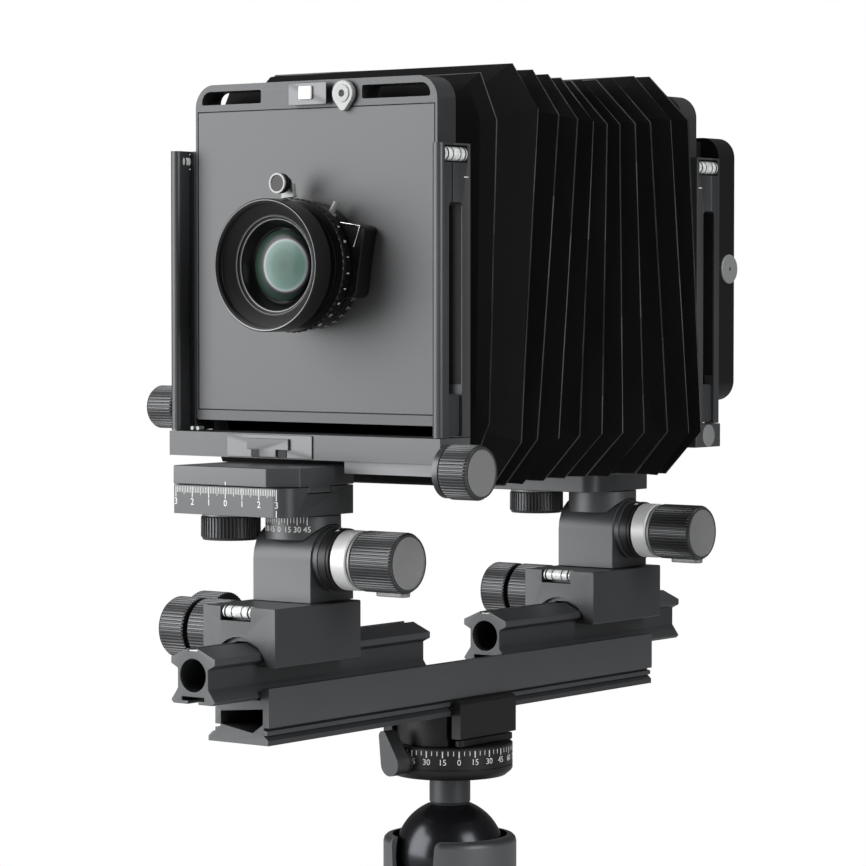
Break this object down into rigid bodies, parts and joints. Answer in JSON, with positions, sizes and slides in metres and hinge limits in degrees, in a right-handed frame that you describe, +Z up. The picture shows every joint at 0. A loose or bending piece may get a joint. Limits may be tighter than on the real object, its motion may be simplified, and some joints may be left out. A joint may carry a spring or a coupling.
{
  "type": "monorail view camera on ball head",
  "caption": "Monorail view camera with pleated bellows, lens and shutter on a ball head with a quick-release clamp.",
  "frame": {"origin": "centre of the ball head's flat base, where it screws down on a tripod", "axes": "+Z up, +Y from the lens towards the ground glass, +X to the right seen from the lens side"},
  "size_m": [0.1988, 0.3791, 0.446],
  "materials": {
    "anodised": "satin black anodised",
    "ball_coating": "satin black hard coating",
    "dark_anodised": "satin black anodised",
    "bearing": "polished bearing plastic",
    "tilt_head": "black anodised with a natural silver collar",
    "knob": "knurled black anodised",
    "silver": "satin natural aluminium",
    "board": "satin grey-black paint",
    "marking": "white engraved lines and numbers",
    "lens_black": "satin black",
    "lens_glass": "coated optical glass",
    "ground_glass": "ground glass",
    "bellows_cloth": "matt black pleated cloth"
  },
  "bodies": {
    "head_base": {"head_housing": "anodised"},
    "friction_knob": {"friction_knob": "knob"},
    "ball_cup": {"ball_cup": "bearing"},
    "ball": {"head_ball": "ball_coating", "pan_dial": "anodised"},
    "pan_lever": {"pan_lever": "knob"},
    "clamp": {"clamp_body": "anodised"},
    "clamp_lever": {"clamp_lever": "anodised"},
    "clamp_jaw": {"clamp_jaw": "dark_anodised"},
    "rails": {"base_rail": "anodised", "front_rail": "anodised", "rear_rail": "anodised"},
    "front_carrier": {"front_carrier": "anodised", "front_post": "anodised"},
    "front_focus_knob": {"front_focus_knob": "knob"},
    "front_focus_lock": {"front_focus_lock": "knob"},
    "front_tilt": {"front_tilt_head": "tilt_head"},
    "front_tilt_knob": {"front_tilt_knob": "knob"},
    "front_swing": {"front_shift_plate": "anodised"},
    "front_shift": {"front_shift_slide": "anodised"},
    "front_shift_knob": {"front_shift_knob": "knob"},
    "front_base": {"front_base": "anodised", "front_column_left": "anodised", "front_column_right": "anodised"},
    "orbix_knob": {"orbix_knob": "knob"},
    "front_rise_knob": {"front_rise_knob": "knob"},
    "front_frame": {"front_frame": "anodised", "lens_board": "board", "shutter_body": "lens_black", "front_lens_cell": "lens_black", "front_lens": "lens_glass"},
    "rear_carrier": {"rear_carrier": "anodised", "rear_post": "anodised"},
    "rear_focus_knob": {"rear_focus_knob": "knob"},
    "rear_tilt": {"rear_tilt_head": "tilt_head"},
    "rear_tilt_knob": {"rear_tilt_knob": "knob"},
    "rear_swing": {"rear_shift_plate": "anodised"},
    "rear_shift": {"rear_shift_slide": "anodised", "rear_base": "anodised", "rear_column_left": "anodised", "rear_column_right": "anodised"},
    "rear_shift_knob": {"rear_shift_knob": "knob"},
    "rear_rise_knob": {"rear_rise_knob": "knob"},
    "rear_frame": {"rear_frame": "anodised"},
    "board_lock_cam": {"board_lock_cam": "silver"},
    "speed_ring": {"speed_ring": "lens_black"},
    "cocking_lever": {"cocking_lever": "silver"},
    "back": {"ground_glass_back": "dark_anodised", "ground_glass": "ground_glass"},
    "bellows_01": {"bellows_01": "bellows_cloth"},
    "bellows_02": {"bellows_02": "bellows_cloth"},
    "bellows_03": {"bellows_03": "bellows_cloth"},
    "bellows_04": {"bellows_04": "bellows_cloth"},
    "bellows_05": {"bellows_05": "bellows_cloth"},
    "bellows_06": {"bellows_06": "bellows_cloth"},
    "bellows_07": {"bellows_07": "bellows_cloth"},
    "bellows_08": {"bellows_08": "bellows_cloth"},
    "bellows_09": {"bellows_09": "bellows_cloth"},
    "bellows_10": {"bellows_10": "bellows_cloth"},
    "bellows_11": {"bellows_11": "bellows_cloth"}
  },
  "joints": [
    {"name": "ball_tilt_forward", "type": "hinge", "parent": "head_base", "child": "ball_cup", "pos_m": [0, 0, 0.0638], "axis": [1, 0, 0], "range_deg": [-30, 30]},
    {"name": "ball_tilt_sideways", "type": "hinge", "parent": "ball_cup", "child": "ball", "pos_m": [0, 0, 0.0638], "axis": [0, 1, 0], "range_deg": [-30, 30]},
    {"name": "friction_knob_turn", "type": "hinge", "parent": "head_base", "child": "friction_knob", "pos_m": [-0.04, 0, 0.0398], "axis": [1, 0, 0], "range_deg": [-180, 180]},
    {"name": "pan_lever_turn", "type": "hinge", "parent": "ball", "child": "pan_lever", "pos_m": [-0.00529, -0.03763, 0.11192], "axis": [-0.1392, -0.9903, 0], "range_deg": [-60, 60]},
    {"name": "pan", "type": "hinge", "parent": "ball", "child": "clamp", "pos_m": [0, 0, 0.1199], "axis": [0, 0, 1], "continuous": true},
    {"name": "clamp_lever_swing", "type": "hinge", "parent": "clamp", "child": "clamp_lever", "pos_m": [0.02085, 0.019, 0.122], "axis": [0, 0, 1], "range_deg": [0, 100]},
    {"name": "clamp_jaw_open", "type": "slide", "parent": "clamp", "child": "clamp_jaw", "axis": [1, 0, 0], "range_m": [0, 0.003]},
    {"name": "rails_slide", "type": "slide", "parent": "clamp", "child": "rails", "axis": [0, 1, 0], "range_m": [-0.05, 0.05]},
    {"name": "front_focus", "type": "slide", "parent": "rails", "child": "front_carrier", "axis": [0, 1, 0], "range_m": [-0.03, 0.024]},
    {"name": "front_focus_knob_turn", "type": "hinge", "parent": "front_carrier", "child": "front_focus_knob", "pos_m": [-0.04, -0.1373, 0.18335], "axis": [1, 0, 0], "range_deg": [-450, 450]},
    {"name": "front_focus_lock_turn", "type": "hinge", "parent": "front_carrier", "child": "front_focus_lock", "pos_m": [-0.06, -0.1082, 0.18335], "axis": [1, 0, 0], "range_deg": [-90, 90]},
    {"name": "front_base_tilt", "type": "hinge", "parent": "front_carrier", "child": "front_tilt", "pos_m": [0, -0.11395, 0.21715], "axis": [1, 0, 0], "range_deg": [-8, 8]},
    {"name": "front_tilt_knob_turn", "type": "hinge", "parent": "front_tilt", "child": "front_tilt_knob", "pos_m": [0.05, -0.11395, 0.21715], "axis": [1, 0, 0], "range_deg": [-90, 90]},
    {"name": "front_swing", "type": "hinge", "parent": "front_tilt", "child": "front_swing", "pos_m": [0, -0.11395, 0.2376], "axis": [0, 0, 1], "range_deg": [-10, 10]},
    {"name": "front_shift", "type": "slide", "parent": "front_swing", "child": "front_shift", "axis": [1, 0, 0], "range_m": [-0.02, 0.02]},
    {"name": "front_shift_knob_turn", "type": "hinge", "parent": "front_swing", "child": "front_shift_knob", "pos_m": [-0.033, -0.12695, 0.23], "axis": [0, 0, 1], "range_deg": [-300, 300]},
    {"name": "front_lens_axis_tilt", "type": "hinge", "parent": "front_shift", "child": "front_base", "pos_m": [0, -0.1062, 0.35495], "axis": [1, 0, 0], "range_deg": [-8, 8]},
    {"name": "orbix_knob_turn", "type": "hinge", "parent": "front_base", "child": "orbix_knob", "pos_m": [0.09, -0.1112, 0.25935], "axis": [1, 0, 0], "range_deg": [-400, 400]},
    {"name": "front_rise_knob_turn", "type": "hinge", "parent": "front_base", "child": "front_rise_knob", "pos_m": [-0.09, -0.1032, 0.28495], "axis": [1, 0, 0], "range_deg": [-450, 450]},
    {"name": "front_rise", "type": "slide", "parent": "front_base", "child": "front_frame", "axis": [0, 0, 1], "range_m": [0, 0.03]},
    {"name": "rear_focus", "type": "slide", "parent": "rails", "child": "rear_carrier", "axis": [0, 1, 0], "range_m": [-0.024, 0.028]},
    {"name": "rear_focus_knob_turn", "type": "hinge", "parent": "rear_carrier", "child": "rear_focus_knob", "pos_m": [-0.04, 0.1168, 0.18335], "axis": [1, 0, 0], "range_deg": [-450, 450]},
    {"name": "rear_base_tilt", "type": "hinge", "parent": "rear_carrier", "child": "rear_tilt", "pos_m": [0, 0.1333, 0.21715], "axis": [1, 0, 0], "range_deg": [-8, 8]},
    {"name": "rear_tilt_knob_turn", "type": "hinge", "parent": "rear_tilt", "child": "rear_tilt_knob", "pos_m": [0.05, 0.1333, 0.21715], "axis": [1, 0, 0], "range_deg": [-90, 90]},
    {"name": "rear_swing", "type": "hinge", "parent": "rear_tilt", "child": "rear_swing", "pos_m": [0, 0.1333, 0.2376], "axis": [0, 0, 1], "range_deg": [-10, 10]},
    {"name": "rear_shift", "type": "slide", "parent": "rear_swing", "child": "rear_shift", "axis": [1, 0, 0], "range_m": [-0.02, 0.02]},
    {"name": "rear_shift_knob_turn", "type": "hinge", "parent": "rear_swing", "child": "rear_shift_knob", "pos_m": [-0.033, 0.1203, 0.23], "axis": [0, 0, 1], "range_deg": [-300, 300]},
    {"name": "rear_rise_knob_turn", "type": "hinge", "parent": "rear_shift", "child": "rear_rise_knob", "pos_m": [-0.09, 0.1074, 0.28495], "axis": [1, 0, 0], "range_deg": [-450, 450]},
    {"name": "rear_rise", "type": "slide", "parent": "rear_shift", "child": "rear_frame", "axis": [0, 0, 1], "range_m": [0, 0.03]},
    {"name": "board_lock_turn", "type": "hinge", "parent": "front_frame", "child": "board_lock_cam", "pos_m": [0.0194, -0.1078, 0.43155], "axis": [0, 1, 0], "range_deg": [0, 180]},
    {"name": "speed_ring_turn", "type": "hinge", "parent": "front_frame", "child": "speed_ring", "pos_m": [0, -0.1195, 0.35245], "axis": [0, 1, 0], "range_deg": [-100, 100]},
    {"name": "cocking_lever_swing", "type": "hinge", "parent": "front_frame", "child": "cocking_lever", "pos_m": [0, -0.1195, 0.35245], "axis": [0, 1, 0], "range_deg": [0, 25]},
    {"name": "back_opens", "type": "slide", "parent": "rear_frame", "child": "back", "axis": [0, 1, 0], "range_m": [0, 0.008], "stiffness_N_per_m": 600, "springref_m": -0.012},
    {"name": "bellows_01_follows", "type": "slide", "parent": "rear_frame", "child": "bellows_01", "axis": [0, 0, 1], "range_m": [-0.03, 0], "deforming": ["bellows_01"]},
    {"name": "bellows_02_follows", "type": "slide", "parent": "bellows_01", "child": "bellows_02", "axis": [1, 0, 0], "range_m": [-0.02, 0.02], "deforming": ["bellows_02"]},
    {"name": "bellows_03_follows", "type": "hinge", "parent": "bellows_02", "child": "bellows_03", "pos_m": [0, 0.1333, 0.2376], "axis": [0, 0, 1], "range_deg": [-10, 10], "deforming": ["bellows_03"]},
    {"name": "bellows_04_follows", "type": "hinge", "parent": "bellows_03", "child": "bellows_04", "pos_m": [0, 0.1333, 0.21715], "axis": [1, 0, 0], "range_deg": [-8, 8], "deforming": ["bellows_04"]},
    {"name": "bellows_05_follows", "type": "slide", "parent": "bellows_04", "child": "bellows_05", "axis": [0, 1, 0], "range_m": [-0.028, 0.024], "deforming": ["bellows_05"]},
    {"name": "bellows_06_follows", "type": "slide", "parent": "bellows_05", "child": "bellows_06", "axis": [0, 1, 0], "range_m": [-0.03, 0.024], "deforming": ["bellows_06"]},
    {"name": "bellows_07_follows", "type": "hinge", "parent": "bellows_06", "child": "bellows_07", "pos_m": [0, -0.11395, 0.21715], "axis": [1, 0, 0], "range_deg": [-8, 8], "deforming": ["bellows_07"]},
    {"name": "bellows_08_follows", "type": "hinge", "parent": "bellows_07", "child": "bellows_08", "pos_m": [0, -0.11395, 0.2376], "axis": [0, 0, 1], "range_deg": [-10, 10], "deforming": ["bellows_08"]},
    {"name": "bellows_09_follows", "type": "slide", "parent": "bellows_08", "child": "bellows_09", "axis": [1, 0, 0], "range_m": [-0.02, 0.02], "deforming": ["bellows_09"]},
    {"name": "bellows_10_follows", "type": "hinge", "parent": "bellows_09", "child": "bellows_10", "pos_m": [0, -0.1062, 0.35495], "axis": [1, 0, 0], "range_deg": [-8, 8], "deforming": ["bellows_10"]},
    {"name": "bellows_11_follows", "type": "slide", "parent": "bellows_10", "child": "bellows_11", "axis": [0, 0, 1], "range_m": [0, 0.03], "deforming": ["bellows_11"]}
  ],
  "couplings": [
    {"joint": "clamp_jaw_open", "follows": "clamp_lever_swing", "m_per_rad": 0.0017189},
    {"joint": "front_focus_knob_turn", "follows": "front_focus", "rad_per_m": 250},
    {"joint": "front_shift_knob_turn", "follows": "front_shift", "rad_per_m": 250},
    {"joint": "orbix_knob_turn", "follows": "front_lens_axis_tilt", "ratio": -45},
    {"joint": "front_rise_knob_turn", "follows": "front_rise", "rad_per_m": 250},
    {"joint": "rear_focus_knob_turn", "follows": "rear_focus", "rad_per_m": 250},
    {"joint": "rear_shift_knob_turn", "follows": "rear_shift", "rad_per_m": 250},
    {"joint": "rear_rise_knob_turn", "follows": "rear_rise", "rad_per_m": 250},
    {"joint": "bellows_01_follows", "follows": "rear_rise", "ratio": -1},
    {"joint": "bellows_02_follows", "follows": "rear_shift", "ratio": -1},
    {"joint": "bellows_03_follows", "follows": "rear_swing", "ratio": -1},
    {"joint": "bellows_04_follows", "follows": "rear_base_tilt", "ratio": -1},
    {"joint": "bellows_05_follows", "follows": "rear_focus", "ratio": -1},
    {"joint": "bellows_06_follows", "follows": "front_focus", "ratio": 1},
    {"joint": "bellows_07_follows", "follows": "front_base_tilt", "ratio": 1},
    {"joint": "bellows_08_follows", "follows": "front_swing", "ratio": 1},
    {"joint": "bellows_09_follows", "follows": "front_shift", "ratio": 1},
    {"joint": "bellows_10_follows", "follows": "front_lens_axis_tilt", "ratio": 1},
    {"joint": "bellows_11_follows", "follows": "front_rise", "ratio": 1}
  ]
}
